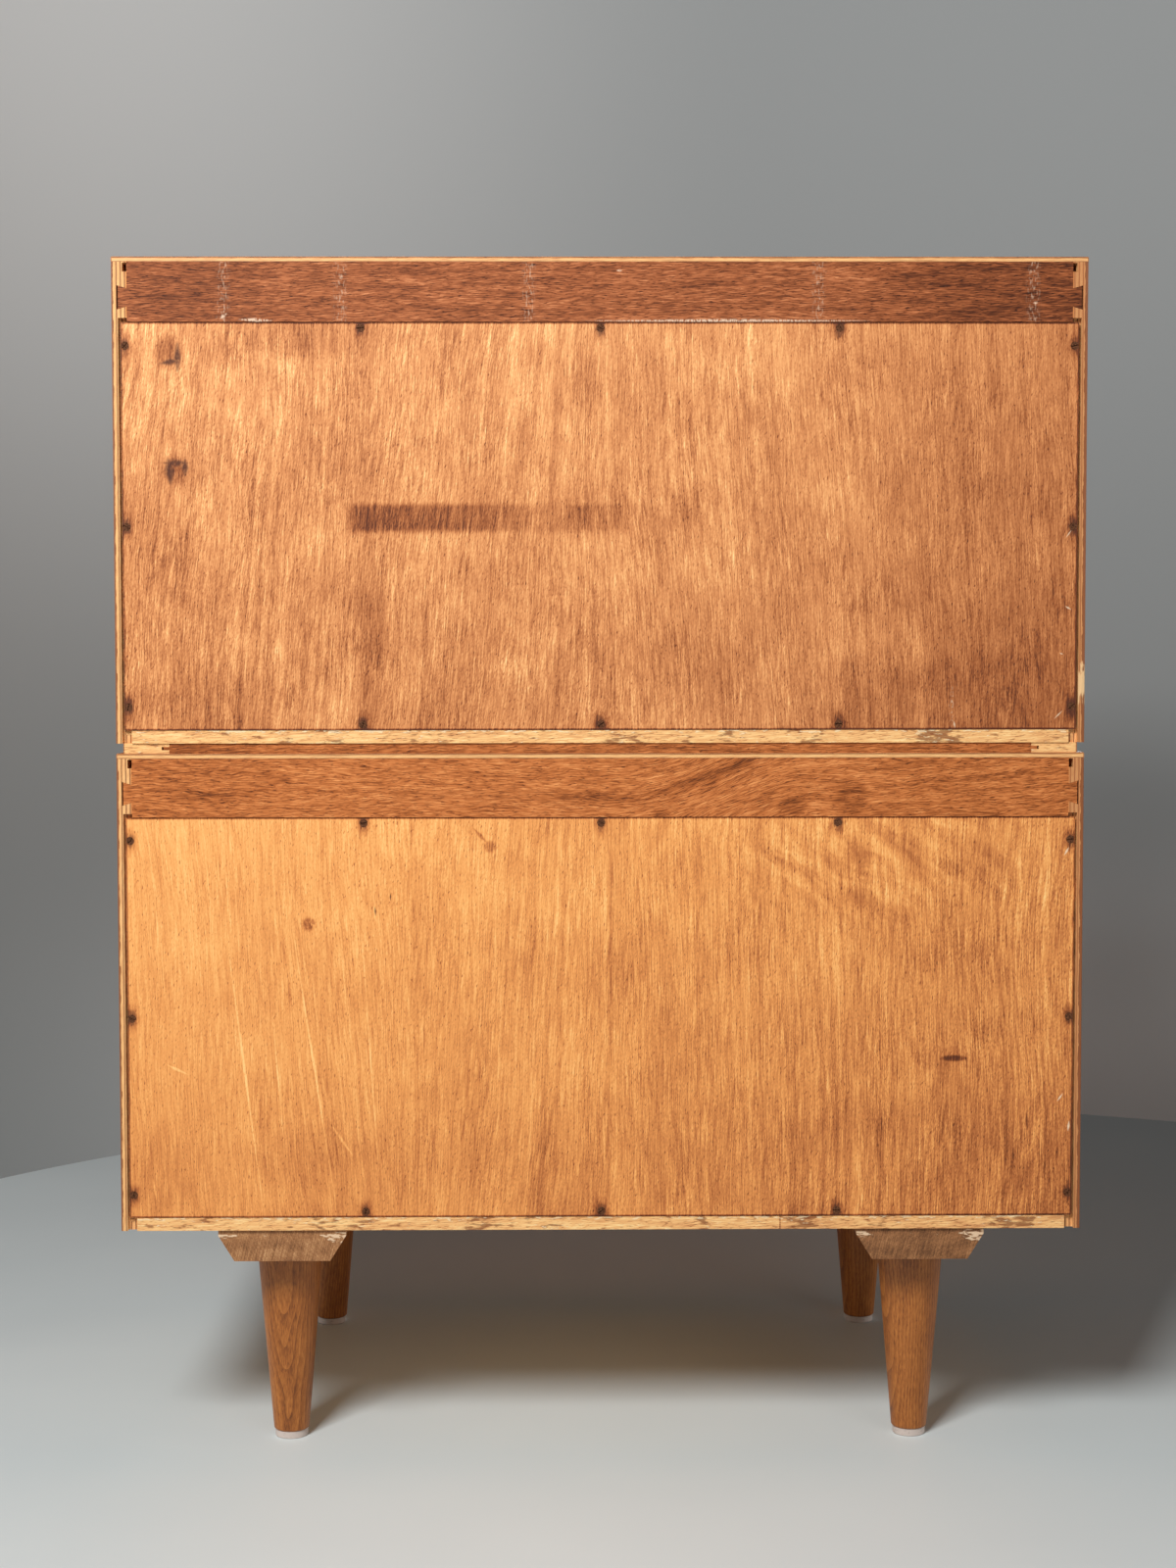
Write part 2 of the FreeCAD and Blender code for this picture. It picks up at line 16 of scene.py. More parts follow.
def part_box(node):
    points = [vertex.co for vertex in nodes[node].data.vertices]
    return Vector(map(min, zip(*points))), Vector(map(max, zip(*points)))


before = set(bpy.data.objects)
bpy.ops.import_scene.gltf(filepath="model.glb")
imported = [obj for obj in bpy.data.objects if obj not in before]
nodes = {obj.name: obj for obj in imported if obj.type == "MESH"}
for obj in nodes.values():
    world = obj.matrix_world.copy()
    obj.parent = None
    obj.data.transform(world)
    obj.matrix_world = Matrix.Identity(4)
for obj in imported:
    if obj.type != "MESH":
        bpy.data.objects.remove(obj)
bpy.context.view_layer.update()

# %% [markdown]
# ## The camera
#
# A camera is a place, a direction and a focal length. This one stands a little over two metres behind the
# chest at about hip height and looks slightly down. The three directions below are worked out from its
# pitch, yaw and roll, and become the columns of its turning matrix.

# %% Camera
picture_long_side = 1600
focal_pixels = 2441.3
sensor_width = 36.0
camera_place = Vector((0.0276, 2.1227, 0.6345))
camera_pitch = math.radians(2.922)
camera_yaw = math.radians(0.527)
camera_roll = math.radians(-0.067)

ahead = Vector((
    -math.sin(camera_yaw) * math.cos(camera_pitch),
    -math.cos(camera_yaw) * math.cos(camera_pitch),
    -math.sin(camera_pitch),
))
level_right = ahead.cross(Vector((0, 0, 1))).normalized()
level_up = level_right.cross(ahead)
right = level_right * math.cos(camera_roll) + level_up * math.sin(camera_roll)
up = level_up * math.cos(camera_roll) - level_right * math.sin(camera_roll)

camera_data = bpy.data.cameras.new("camera")
camera_data.sensor_width = sensor_width
camera_data.lens = focal_pixels * sensor_width / picture_long_side
camera = bpy.data.objects.new("camera", camera_data)
camera.matrix_world = Matrix.Translation(camera_place) @ Matrix((right, up, -ahead)).transposed().to_4x4()
bpy.context.scene.collection.objects.link(camera)
bpy.context.scene.camera = camera
print("lens:", round(camera_data.lens, 2), "mm")

# %% [markdown]
# ## Mixing materials with plain sums
#
# A procedural material is a network of nodes. Placing each node by hand is slow to read, so two small
# helpers stand in for it. `Paint` is one material. `Field` is one output of one of its nodes, a value that
# changes over the surface, and `a + b * 2` on fields adds the Math nodes that work it out.
# Every material counts in millimetres of the whole chest, read from Object coordinates, so a board's
# pattern runs through it like real grain and its ends show end grain.

# %% Field and Paint
class Field:
    """A value that changes over a surface: one output socket of a material's nodes."""

    def __init__(self, paint, socket):
        self.paint = paint
        self.socket = socket

    def __add__(self, other):
        return self.paint.maths("ADD", self, other)

    def __radd__(self, other):
        return self.paint.maths("ADD", other, self)

    def __sub__(self, other):
        return self.paint.maths("SUBTRACT", self, other)

    def __rsub__(self, other):
        return self.paint.maths("SUBTRACT", other, self)

    def __mul__(self, other):
        return self.paint.maths("MULTIPLY", self, other)

    def __rmul__(self, other):
        return self.paint.maths("MULTIPLY", other, self)

    def __truediv__(self, other):
        return self.paint.maths("DIVIDE", self, other)

    def __abs__(self):
        return self.paint.maths("ABSOLUTE", self)


class Paint:
    """One material: its nodes, its shader, and the place on the chest as fields x, y and z in millimetres."""

    def __init__(self, name, constants=()):
        self.material = bpy.data.materials.new(name)
        self.material.use_nodes = True
        self.tree = self.material.node_tree
        self.shader = self.tree.nodes["Principled BSDF"]
        for socket, value in dict(constants).items():
            self.shader.inputs[socket].default_value = value
        place = self.node("ShaderNodeTexCoord", output="Object")
        in_mm = self.node("ShaderNodeVectorMath", {0: place, 3: 1000.0}, operation="SCALE")
        self.x = self.node("ShaderNodeSeparateXYZ", {0: in_mm}, output=0)
        self.y = Field(self, self.x.socket.node.outputs[1])
        self.z = Field(self, self.x.socket.node.outputs[2])

    def node(self, kind, inputs=(), output=0, stops=(), **settings):
        """Add a node: its settings first, then its sockets' values or links; give one of its outputs."""
        made = self.tree.nodes.new(kind)
        for setting, value in settings.items():
            setattr(made, setting, value)
        for i, (place, shade) in enumerate(stops):
            stop = made.color_ramp.elements[i] if i < 2 else made.color_ramp.elements.new(place)
            stop.position = place
            stop.color = shade
        for socket, value in dict(inputs).items():
            self.feed(made.inputs[socket], value)
        return Field(self, made.outputs[output])

    def feed(self, socket, value):
        """Link a field to a socket, or set a plain value on it."""
        if isinstance(value, Field):
            self.tree.links.new(value.socket, socket)
        else:
            socket.default_value = value

    def maths(self, operation, first, second=0.0):
        """One Math node."""
        return self.node("ShaderNodeMath", {0: first, 1: second}, operation=operation)

    def noise(self, x, y, z, detail=2.0, seed=0.0):
        """Cloudy noise round 0, mostly -1 to 1; one unit of x, y or z is about one cloud wide."""
        where = self.node("ShaderNodeCombineXYZ", {0: x + seed, 1: y, 2: z})
        cloud = self.node("ShaderNodeTexNoise", {"Vector": where, "Scale": 1.0, "Detail": detail})
        return (cloud - 0.5) * 4.0

    def smooth(self, value, start, end):
        """0 up to start and 1 from end on, with a soft S between; it falls where end is below start."""
        limits = {"Value": value, "From Min": start, "From Max": end}
        return self.node("ShaderNodeMapRange", limits, interpolation_type="SMOOTHSTEP")

    def mix(self, mask, below, above):
        """The colour below where mask is 0, and above where it is 1."""
        return self.node("ShaderNodeMix", {0: mask, 6: below, 7: above}, output=2, data_type="RGBA")

    def ramp(self, tone, stops):
        """A colour for each tone, through the stops given."""
        return self.node("ShaderNodeValToRGB", {0: tone}, stops=stops)

    def larger(self, first, second):
        """The larger of two values at each place."""
        return self.maths("MAXIMUM", first, second)

    def smaller(self, first, second):
        """The smaller of two values at each place."""
        return self.maths("MINIMUM", first, second)

    def finish(self, colour, roughness, height=None):
        """Send the colour, the roughness and the surface's height in millimetres to the shader."""
        self.feed(self.shader.inputs["Base Color"], colour)
        self.feed(self.shader.inputs["Roughness"], roughness)
        if height is not None:
            relief = self.node("ShaderNodeBump", {"Distance": 0.001, "Height": height})
            self.feed(self.shader.inputs["Normal"], relief)
        print("mixed", self.material.name, "from", len(self.tree.nodes), "nodes")
        return self.material


def colour(red, green, blue):
    """A colour given as it looks on a screen, 0 to 255, turned into the linear light that shaders use."""
    shown = np.array([red, green, blue]) / 255
    linear = np.where(shown <= 0.04045, shown / 12.92, ((shown + 0.055) / 1.055) ** 2.4)
    return (*linear.tolist(), 1.0)


# %% [markdown]
# ## Floor, wall and light
#
# The chest stands on a pale painted floor in front of a wall that curves round it. The wall is one sheet:
# a grid of points on a circle. Cameras see it from inside only, and it throws no shadow, so the same wall
# works for every side that the chest is viewed from.

# %% Mesh helper
def surface(name, points, around=False):
    """A mesh from a grid of points (rows, columns, 3); around joins the last column to the first."""
    rows, columns = points.shape[:2]
    index = np.arange(rows * columns).reshape(rows, columns)
    if around:
        index = np.concatenate([index, index[:, :1]], axis=1)
    quads = np.stack([index[:-1, :-1], index[:-1, 1:], index[1:, 1:], index[1:, :-1]], axis=-1)
    mesh = bpy.data.meshes.new(name)
    mesh.from_pydata(points.reshape(-1, 3).tolist(), [], quads.reshape(-1, 4).tolist())
    mesh.validate()
    mesh.polygons.foreach_set("use_smooth", [True] * len(mesh.polygons))
    made = bpy.data.objects.new(name, mesh)
    bpy.context.scene.collection.objects.link(made)
    return made


# %% Floor and wall
floor_half = 7.0
wall_centre = np.array([-0.237, -0.1])
wall_radius = 1.19
wall_height = 4.0
wall_columns = 180

corner = np.array([-floor_half, floor_half])
across, along = np.meshgrid(corner, corner)
floor = surface("floor", np.stack([across, along, np.zeros((2, 2))], axis=-1))

# A point of the wall is the centre plus the radius times (cos, sin) of its turn, at its height.
turn = np.linspace(0, 2 * math.pi, wall_columns, endpoint=False)
ring = wall_centre + wall_radius * np.stack([np.cos(turn), np.sin(turn)], axis=-1)
wall_points = np.zeros((2, wall_columns, 3))
wall_points[:, :, :2] = ring
wall_points[0, :, 2] = wall_height
wall = surface("wall", wall_points, around=True)
wall.visible_shadow = False
wall.visible_diffuse = False
wall.visible_glossy = False

floor_paint = Paint("floor_paint", {"Specular IOR Level": 0.2})
patchy = floor_paint.noise(floor_paint.x / 300, floor_paint.y / 300, 0, detail=4)
floor_shade = floor_paint.mix(0.5 + patchy * 0.3, colour(220, 229, 230), colour(228, 236, 236))
floor.data.materials.append(floor_paint.finish(floor_shade, 0.5 + patchy * 0.05))

wall_paint = Paint("wall_paint", {"Specular IOR Level": 0.1})
# Painted light: the wall is lighter towards its top, most of all at positive x where the key lamp stands, and
# lighter near the floor at negative x, where that lifts the chest's shadow.
painted_light_climb = wall_paint.smooth(wall_paint.z, 300, 1600)
far_side = wall_paint.smooth(wall_paint.x, 900, -300)
low_shade = wall_paint.mix(far_side, colour(158, 162, 162), colour(152, 155, 155))
high_shade = wall_paint.mix(far_side, colour(238, 238, 236), colour(176, 179, 179))
painted_light_near_floor = wall_paint.smooth(wall_paint.z, 480, 80) * far_side
wall_colour_and_painted_light = wall_paint.mix(painted_light_near_floor, wall_paint.mix(painted_light_climb, low_shade, high_shade), colour(236, 238, 238))
wall_material = wall_paint.finish(wall_colour_and_painted_light, 0.9)
clear = wall_paint.node("ShaderNodeBsdfTransparent")
outside = wall_paint.node("ShaderNodeNewGeometry", output="Backfacing")
lit_wall = Field(wall_paint, wall_paint.shader.outputs[0])
seen_wall = wall_paint.node("ShaderNodeMixShader", {0: outside, 1: lit_wall, 2: clear})
wall_paint.feed(wall_paint.tree.nodes["Material Output"].inputs["Surface"], seen_wall)
wall.data.materials.append(wall_material)


# %% [markdown]
# ## Lamps
#
# A small lamp throws hard shadows, so the light comes from soft boxes about a metre wide. A strong one stands
# high on one side behind the chest, and a weak one on the other side fills its shadows in. Three more light
# the other sides, for whoever walks round the chest.

# %% Lamps
def soft_lamp(name, place, target, size, power):
    """A square soft box at place that faces target; gives the lamp."""
    data = bpy.data.lights.new(name, "AREA")
    data.size = size
    data.energy = power
    lamp = bpy.data.objects.new(name, data)
    toward = Vector(target) - Vector(place)
    lamp.matrix_world = Matrix.Translation(place) @ toward.to_track_quat("-Z", "Y").to_matrix().to_4x4()
    bpy.context.scene.collection.objects.link(lamp)
    return lamp


chest_middle = (0.0, 0.0, 0.5)
soft_lamp("back_key", (0.9, 2.3, 2.3), chest_middle, size=0.9, power=83)
soft_lamp("back_fill", (-1.6, 2.9, 1.5), chest_middle, size=1.6, power=9)
other_lamps = [
    soft_lamp("front_key", (-0.4, -2.9, 1.5), chest_middle, size=1.2, power=66),
    soft_lamp("left_fill", (-3.0, -0.5, 1.4), chest_middle, size=1.2, power=26),
    soft_lamp("right_fill", (3.0, -0.5, 1.4), chest_middle, size=1.2, power=26),
]

# The other sides' lamps are kept off the floor and the wall, so that the chest's own shadow stays dark.
kept_off = bpy.data.collections.new("kept_off")
for member, stage_piece in enumerate((floor, wall)):
    kept_off.objects.link(stage_piece)
    kept_off.collection_objects[member].light_linking.link_state = "EXCLUDE"
for lamp in other_lamps:
    lamp.light_linking.receiver_collection = kept_off

world_light = 0.07
world = bpy.data.worlds.new("world")
world.use_nodes = True
world.node_tree.nodes["Background"].inputs["Color"].default_value = (1.0, 1.0, 1.0, 1.0)
world.node_tree.nodes["Background"].inputs["Strength"].default_value = world_light
bpy.context.scene.world = world
bpy.context.scene.view_settings.view_transform = "Standard"
print("lamps:", len(bpy.data.lights))

# %% [markdown]
# ## What wood looks like
#
# Wood is a bundle of fibres round a pith. A board sawn from it shows growth rings as stripes along its
# length and as arcs on its ends, with fine fibres and short dark pores on top. `timber` works out how light
# the wood is at a place from three lengths: one along the grain and two across it. All its noises are long
# along the grain and narrow across it, so faces, edges and ends come out right without unwrapping.

# %% Timber
def timber(paint, along, across, up, pith=(0.0, -80.0), ring=4.0, rings=0.2, grain=0.16, pores=0.3, seed=0.0):
    """Tone of solid wood, 0 dark to 1 light, and the mask of its pores.

    The growth rings are the fraction of (distance from the pith, plus a slow wobble) / ring. The fibres and
    pores of one row start at other places than those of the next, which stagger adds to the length.
    """
    stagger = across * 0.4 + up * 0.7
    wobble = paint.noise(along / 170, across / 60, up / 60, seed=seed)
    from_pith = paint.maths("SQRT", (across - pith[0]) * (across - pith[0]) + (up - pith[1]) * (up - pith[1]))
    grown = paint.maths("FRACT", (from_pith + wobble * 7.0) / ring)
    fibre = paint.noise(along / 9 + stagger, across / 0.95, up / 0.95, detail=1, seed=seed + 7)
    cloud = paint.noise(along / 60, across / 12, up / 12, detail=3, seed=seed + 13)
    fleck = paint.noise(along / 4.2 + stagger, across / 0.75, up / 0.75, detail=1, seed=seed + 19)
    pore = paint.smooth(fleck, 0.35, 0.85)
    tone = 0.58 + (grown - 0.5) * rings + fibre * grain + cloud * 0.12 - pore * pores
    return tone, pore


# %% [markdown]
# ## Rust, dents and scratches
#
# Marks are masks: 1 on the mark and 0 off it. An ellipse and a straight stroke are enough for most of them,
# and a list of either makes a group. Noise is laid over the larger ones, so that no edge is perfectly clean.

# %% Masks for marks
def spot(paint, x, z, wide, tall, soft=0.8):
    """1 inside an ellipse of half sizes wide and tall round (x, z), fading out over its outer part."""
    dx = (paint.x - x) / wide
    dz = (paint.z - z) / tall
    return paint.smooth(dx * dx + dz * dz, 1.0, 1.0 - soft)


def stroke(paint, start, end, width):
    """1 along a straight line from start to end, fading out at width from it and narrower at its ends."""
    length = math.dist(start, end)
    cos = (end[0] - start[0]) / length
    sin = (end[1] - start[1]) / length
    dx = paint.x - start[0]
    dz = paint.z - start[1]
    run = dx * cos + dz * sin
    off = abs(dz * cos - dx * sin)
    toward_end = abs(run / length - 0.5)
    body = paint.smooth(off + toward_end * width * 1.4, width, width * 0.3)
    return body * paint.smooth(toward_end, 0.5, 0.4)


def patches(paint, places):
    """The sum of soft ellipses, each given as x, z, half width, half height and strength."""
    total = 0.0
    for x, z, wide, tall, strength in places:
        total = spot(paint, x, z, wide, tall, soft=1.0) * strength + total
    return total


def strokes(paint, lines):
    """1 along any of the lines, each given as its start, its end and its width."""
    mask = 0.0
    for start, end, width in lines:
        mask = paint.larger(stroke(paint, start, end, width), mask)
    return mask


# %% [markdown]
# ## The back panels
#
# Each back is a 4 mm sheet of plywood whose face was peeled off a log like paper off a roll. The grain runs
# upright, in fine light and dark streaks that lean a little, and pores show as short dark dashes. A picture
# of plywood would repeat and blur. Noise doesn't, so several noises are squeezed across the grain, stretched
# along it and added up, and all of them are read at a place that is first pushed sideways.

# %% Sizes of the cases and panels
def corners_mm(node):
    """Lowest and highest corners of a CAD node's box, in millimetres."""
    low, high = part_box(node)
    return low * 1000, high * 1000


low, high = corners_mm("upper_side_right")
front_y = low[1]
half_width = high[0]
back_y = high[1]

panel_low, panel_high = {}, {}
for case in ("upper", "lower"):
    low, high = corners_mm(f"{case}_back_panel")
    panel_low[case], panel_high[case] = low[2], high[2]
    panel_half = high[0]
print("panels:", panel_low, panel_high, "half width", panel_half)

# %% [markdown]
# ## Stains round the screws
#
# Damp has made each steel screw rust into the wood round it. Twelve ellipses could be added up, but the
# screws stand in regular rows: abs folds the panel onto itself, and one distance then gives every stain.

# %% Stains round the screws
screw_row_edge = 4.2
screw_column_edge = 3.3
screw_column_inset = 18.0


def screw_halo(paint, case):
    """Stain round the panel's screws: its wide brown part and its small dark heart.

    The three columns of the rows are folded onto one with abs, and so are the three heights at the sides.
    Noise bends the distance from the screw, so that each stain has its own outline.
    """
    middle = (panel_low[case] + panel_high[case]) / 2
    half_height = (panel_high[case] - panel_low[case]) / 2
    row = half_height - screw_row_edge
    step = half_height - screw_column_inset
    from_middle = paint.z - middle
    side = abs(paint.x)
    row_dx = paint.smaller(side, abs(side - panel_half / 2))
    row_dz = paint.smaller(abs(from_middle - row), abs(from_middle + row))
    column_dx = abs(side - (panel_half - screw_column_edge))
    column_dz = paint.smaller(abs(from_middle), abs(abs(from_middle) - step))
    ragged = paint.noise(paint.x / 2.2, 0, paint.z / 5, seed=41) * 1.4
    ragged = ragged + paint.noise(paint.x / 50, 0, paint.z / 50, seed=47) * 1.1
    away_row = paint.maths("SQRT", row_dx * row_dx + row_dz * row_dz * 0.3) + ragged
    away_column = paint.maths("SQRT", column_dx * column_dx + column_dz * column_dz * 0.32) + ragged
    away = paint.smaller(away_row, away_column)
    return paint.smooth(away, 8.0, 2.0), paint.smooth(away, 4.4, 1.6)


# %% Peeled plywood
def panel_paint(name, case, lean, turns, texture, clouds, lengths, seed):
    """Peeled plywood of one panel: the paint, its tone before the marks, and its pores.

    The grain runs up Z, and its lines lean by the factor lean. Each of turns is a start, an end and a step,
    which is added to the lean on the way from start to end, both in x. texture is the strength of the grain
    in the middle, and what each millimetre of x adds to it. clouds is the strength of the larger patches, and
    lengths are how far the patches and the lines run along the grain.
    """
    paint = Paint(name, {"Specular IOR Level": 0.3})
    x = paint.x
    z = paint.z - (panel_low[case] + panel_high[case]) / 2
    patch_length, line_length = lengths
    for start, end, step in turns:
        lean = paint.smooth(x, start, end) * step + lean
    drift = paint.noise(x / 160, 0, z / 300, seed=seed)
    wobble = paint.noise(x / 5, 0, z / 11, detail=1, seed=seed + 31)
    grain_x = x + z * lean + drift * 6.0 + wobble * 0.3
    band = paint.noise(grain_x / 5, 0, z / 340, seed=seed + 3)
    line = paint.noise(grain_x / 1.15, 0, z / line_length + grain_x / 3, detail=1, seed=seed + 5)
    fibre = paint.noise(grain_x / 0.8, 0, z / 2.6 + grain_x / 2.1, detail=1, seed=seed + 9)
    mottle = paint.noise(grain_x / 15, 0, z / patch_length, detail=4, seed=seed + 15)
    cloud = paint.noise(x / 80, 0, z / 70, detail=3, seed=seed + 25)
    fleck = paint.noise(grain_x / 1.0, 0, z / 3.2 + grain_x / 2.6, detail=0, seed=seed + 21)
    pore = paint.smooth(fleck, 0.7, 1.2)
    uneven = 0.85 + paint.noise(x / 26, 0, z / 40, detail=2, seed=seed + 37) * 0.3
    strength = (texture[0] + x * texture[1]) * uneven
    fine = (line * 0.32 + fibre * 0.2 + band * 0.2) * strength
    tone = 0.55 + fine + (mottle * 0.9 + cloud * 1.4) * strength * clouds - pore * 0.34
    return paint, tone, pore


iron_stain = colour(74, 36, 22)
bare_fibre = colour(240, 214, 180)


def finish_panel(paint, tone, pore, shades, case, pale_marks, iron_marks):
    """Colour a panel from its tone, with grime and painted shade in its joints, rust round its screws and
    pale nicks on top.
    """
    halo, heart = screw_halo(paint, case)
    middle = (panel_low[case] + panel_high[case]) / 2
    inside_x = panel_half - abs(paint.x)
    inside_z = panel_high[case] - middle - abs(paint.z - middle)
    # Grime and painted shade darken the panel's edges, where it meets the rails, the sides and the bottom
    # board.
    joint = paint.smooth(paint.smaller(inside_x, inside_z), 1.6, 0.5)
    shade = paint.ramp(tone - halo * 0.3 - joint * 0.45, shades)
    shade = paint.mix(paint.larger(heart * 0.6, iron_marks * 0.85), shade, iron_stain)
    shade = paint.mix(pale_marks, shade, bare_fibre)
    return paint.finish(shade, 0.62 - tone * 0.08, pore * -0.05 + tone * 0.06)


orange_ply = [
    (0.0, colour(98, 46, 20)), (0.2, colour(154, 84, 40)), (0.4, colour(190, 117, 66)),
    (0.55, colour(213, 138, 82)), (0.7, colour(234, 161, 100)), (0.85, colour(248, 185, 119)),
    (1.0, colour(255, 214, 148)),
]
yellow_ply = [
    (0.0, colour(92, 44, 18)), (0.2, colour(148, 79, 35)), (0.4, colour(188, 111, 57)),
    (0.55, colour(214, 135, 71)), (0.7, colour(237, 158, 86)), (0.85, colour(252, 181, 105)),
    (1.0, colour(255, 204, 130)),
]

# %% [markdown]
# ## What happened to the upper panel
#
# A strap or a batten has left a dark band that fades out to one side, and staples have rusted at the other
# edge. The lower corner at negative x is darker, and painted shade darkens the panel under the rail and near
# the bottom at positive x. Each mark lowers the tone of the wood a little, so that the grain still shows
# through it, and only the iron and the torn fibres have colours of their own.

# %% Upper panel: grain and stains
upper_turns = [(-60, 90, 0.14), (140, 230, -0.03)]
paint, tone, pore = panel_paint("upper_back_ply", "upper", lean=-0.055, turns=upper_turns,
                                texture=(0.86, 0.00036), clouds=0.13, lengths=(50, 15), seed=0.0)
# It is darker towards the bottom, and towards the edge at negative x: partly the wood's own tone, partly
# painted shade where the light falls off.
tone = tone + (paint.z - 730) * 0.00045 - paint.smooth(paint.x, -60, -380) * 0.17

band_z = 747.2
ragged_x = paint.x + paint.noise(paint.x / 2, 0, paint.z / 12, seed=60) * 3.0
ragged_z = abs(paint.z - band_z) + paint.noise(paint.x / 3, 0, paint.z / 9, seed=64) * 1.2
fading = paint.smooth(ragged_x, 50, 120) * 0.68 + paint.smooth(ragged_x, -90, 20) * 0.32
band_stain = paint.smooth(ragged_z, 13.5, 7.5) * fading * paint.smooth(ragged_x, 203, 188)
knots = paint.larger(spot(paint, 13, 748, 7, 12), spot(paint, -279, 640, 34, 44, soft=1.0) * 0.4)
# A dark smear, a darker lower corner at negative x, and painted shade under the rail and near the bottom at
# positive x.
smear_corner_and_painted_shade = patches(paint, [
    (179, 640, 18, 95, 0.13), (215, 889, 90, 24, 0.16), (330, 620, 60, 60, 0.08),
    (-350, 600, 150, 90, 0.08), (-310, 820, 70, 70, 0.032),
])
darkening = band_stain * 0.4 + knots * 0.16 + smear_corner_and_painted_shade

# %% Upper panel: staples and splinters
blotch = paint.noise(paint.x / 2.4, 0, paint.z / 3.2, detail=3, seed=71)
staples = strokes(paint, [
    ((345, 867), (327, 870), 3.6), ((330, 885), (330, 859), 4.2), ((343, 790), (321, 790), 4.2),
    ((338, 795), (336, 772), 6.0), ((325, 794), (325, 779), 4.2),
])
staples = staples * paint.smooth(blotch, -1.8, 0.2)
staple_halo = patches(paint, [(337, 876, 15, 17, 1.0), (332, 784, 13, 15, 1.0)])
darkening = darkening + staple_halo * (0.3 + blotch * 0.1)
splinters = strokes(paint, [
    ((-357, 589), (-364, 596), 0.8), ((-365, 678), (-370, 675), 1.1), ((-361, 641), (-364, 640), 0.8),
    ((-365, 731), (-370, 738), 0.7), ((-278, 588), (-279, 582), 1.1),
])
scuff = spot(paint, -276, 600, 2.2, 20) * paint.smooth(blotch, 0.0, 0.5) * 0.5
splinters = paint.larger(splinters, scuff)
upper_panel = finish_panel(paint, tone - darkening, pore, orange_ply, "upper", splinters * 0.7, staples)

# %% [markdown]
# ## What happened to the lower panel
#
# This sheet is yellower, and its figure flames near one top corner, where the log had a branch. It has two
# knots, a tear, worn and dirty patches, and long scratches that came from dragging. The flame is noise read
# along a slanted pair of axes, bent a little by another noise.

# %% Lower panel: grain, flame and patches
lower_turns = [(-40, 50, 0.07), (100, 210, -0.13)]
paint, tone, pore = panel_paint("lower_back_ply", "lower", lean=0.0, turns=lower_turns,
                                texture=(0.72, -0.0006), clouds=0.1, lengths=(110, 21), seed=90.0)
# It is a little lighter than the upper one, and darker towards the bottom and the edge at negative x: partly
# the wood's own tone, partly painted shade where the light falls off.
tone = tone + (paint.z - 350) * 0.0005 + paint.x * 0.00026 + 0.08

bend = paint.noise(paint.x / 45, 0, paint.z / 45, seed=137) * 6.0
down_slope = paint.z * 0.6 + paint.x * 0.8
over_slope = paint.z * 0.8 - paint.x * 0.6 + bend
flame = paint.noise(over_slope / 11, 0, down_slope / 60, seed=141) * spot(paint, -215, 478, 150, 70, soft=1.0)
waves = paint.noise(paint.x / 14, 0, paint.z / 40, detail=3, seed=130)
worn = patches(paint, [
    (-298, 470, 40, 36, 1.0), (-200, 470, 26, 40, 1.0), (352, 235, 30, 50, 1.2), (-320, 255, 90, 80, 1.0),
    (-70, 470, 26, 40, 0.8), (-200, 250, 90, 60, 0.6), (230, 245, 70, 30, 0.7), (-268, 321, 42, 12, 0.8),
])
dabs = stroke(paint, (-14, 532), (-18, 496), 11) + stroke(paint, (-62, 524), (-34, 480), 10)
darkening = worn * (0.5 + waves * 0.5) * 0.16 + dabs * 0.09 - flame * 0.2

# %% Lower panel: knots, tears and scratches
rough = paint.smooth(paint.noise(paint.x / 2.4, 0, paint.z / 3.2, detail=3, seed=71), -1.2, 0.6)
tear = paint.larger(spot(paint, 88, 489, 6, 6, soft=0.9), stroke(paint, (101, 504), (89, 491), 2.4))
knots = paint.larger(spot(paint, 231, 428, 7, 7, soft=0.9) * rough, spot(paint, -280, 320, 13, 3.2, soft=1.0))
knots = paint.larger(knots, stroke(paint, (-338, 277), (-339, 261), 1.8) * 0.8)
darkening = darkening + tear * 0.3 + knots * 0.48
scratches = strokes(paint, [
    ((296, 420), (268, 197), 1.5), ((246, 440), (210, 197), 1.3), ((214, 268), (197, 243), 2.0),
    ((345, 317), (326, 308), 1.8), ((356, 226), (353, 208), 1.6), ((262, 380), (250, 230), 1.0),
    ((188, 400), (176, 220), 0.9),
])
cracks = strokes(paint, [((178.5, 442), (178, 434), 1.1), ((166, 453), (166.5, 446), 0.9)])
nicks = strokes(paint, [
    ((-371, 261), (-372, 270), 1.4), ((-362, 285), (-367, 292), 1.0), ((-366, 481), (-370, 488), 1.2),
])
tone = tone - darkening + scratches * 0.24
lower_panel = finish_panel(paint, tone, pore, yellow_ply, "lower", nicks * 0.9, cracks)

# %% [markdown]
# ## Teak edging
#
# Whatever faces the front, or shows at the sides of the frame between the cases, is edged with teak less than
# a millimetre thick. It could be strips of its own, but a mask that steps up at a depth is simpler, and gives
# the board a second colour there.

# %% Teak edging
edging = 0.8
front_edges_y = corners_mm("spacer_front_rail")[0][1] + edging
frame_half = corners_mm("spacer_side_right")[1][0] - edging
teak = [
    (0.0, colour(78, 42, 22)), (0.3, colour(134, 80, 44)), (0.55, colour(174, 110, 64)),
    (0.8, colour(200, 136, 84)), (1.0, colour(222, 164, 110)),
]


def in_front_of(paint, y):
    """1 in front of the depth y and 0 behind it, with a crisp edge."""
    return paint.smooth(paint.y, y + 0.1, y)


# %% [markdown]
# ## Rails
#
# The rails are a reddish-brown hardwood. The planer has left rows of pale marks on the upper one, and the
# lower one's grain sweeps up towards one end. What is bent is the place at which `timber` is read, because
# that carries rings, fibres and pores along together.

